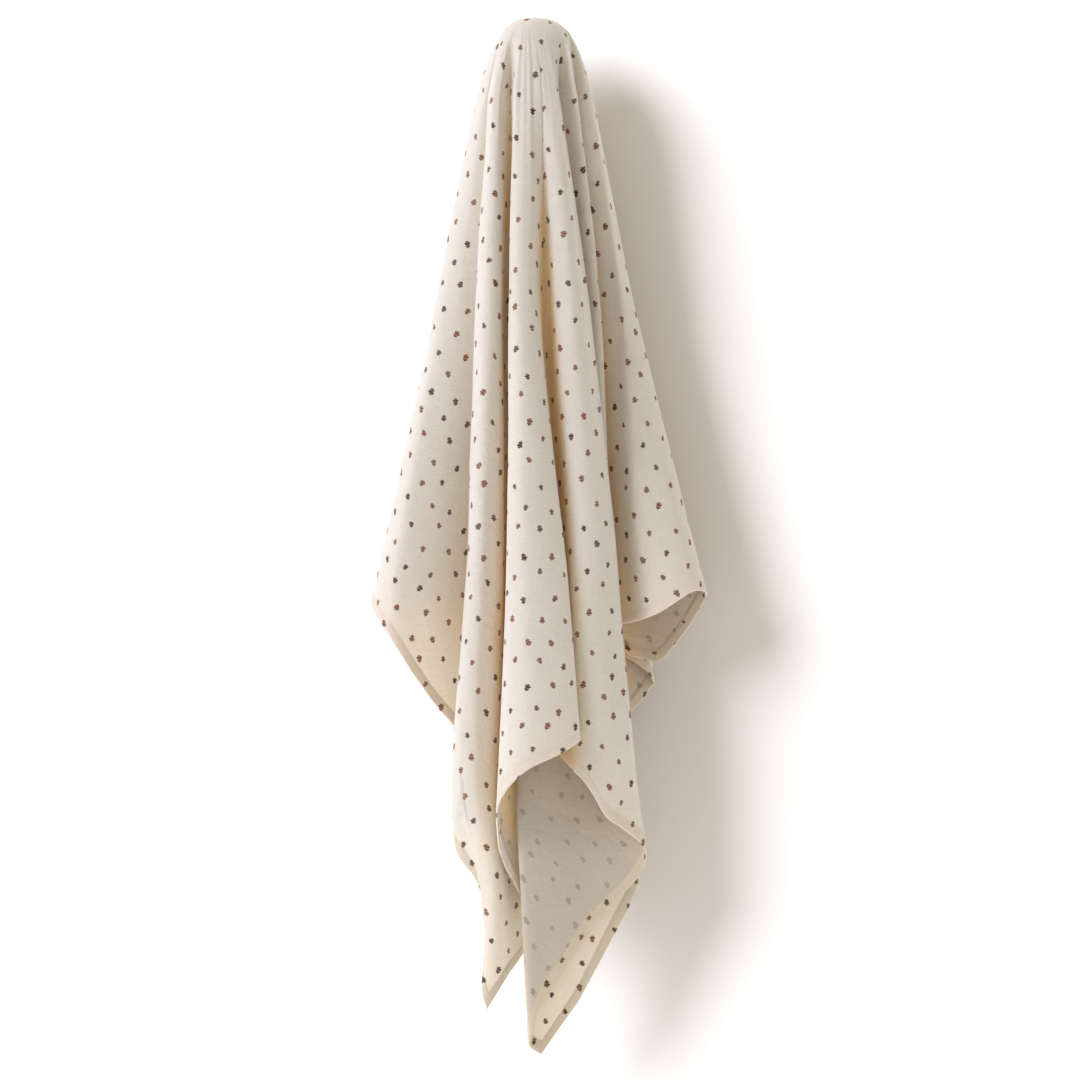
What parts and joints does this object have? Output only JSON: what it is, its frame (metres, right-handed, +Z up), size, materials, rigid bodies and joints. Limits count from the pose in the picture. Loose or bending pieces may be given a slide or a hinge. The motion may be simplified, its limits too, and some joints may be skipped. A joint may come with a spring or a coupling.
{
  "type": "swaddle blanket",
  "caption": "Square muslin baby swaddle blanket hung from near its middle, a smooth dome at the top falling in deep soft folds to uneven hems and corner points.",
  "frame": {"origin": "the point where the blanket hangs: the top of its dome, on the cloth's middle surface", "axes": "+Z up, against the fall of the folds; +X to the viewer's right; +Y towards the wall behind, so the front faces -Y"},
  "size_m": [0.3266, 0.175, 1.0038],
  "materials": {
    "muslin": "matte"
  },
  "bodies": {
    "root": {"swaddle_cloth": "muslin"}
  },
  "joints": []
}
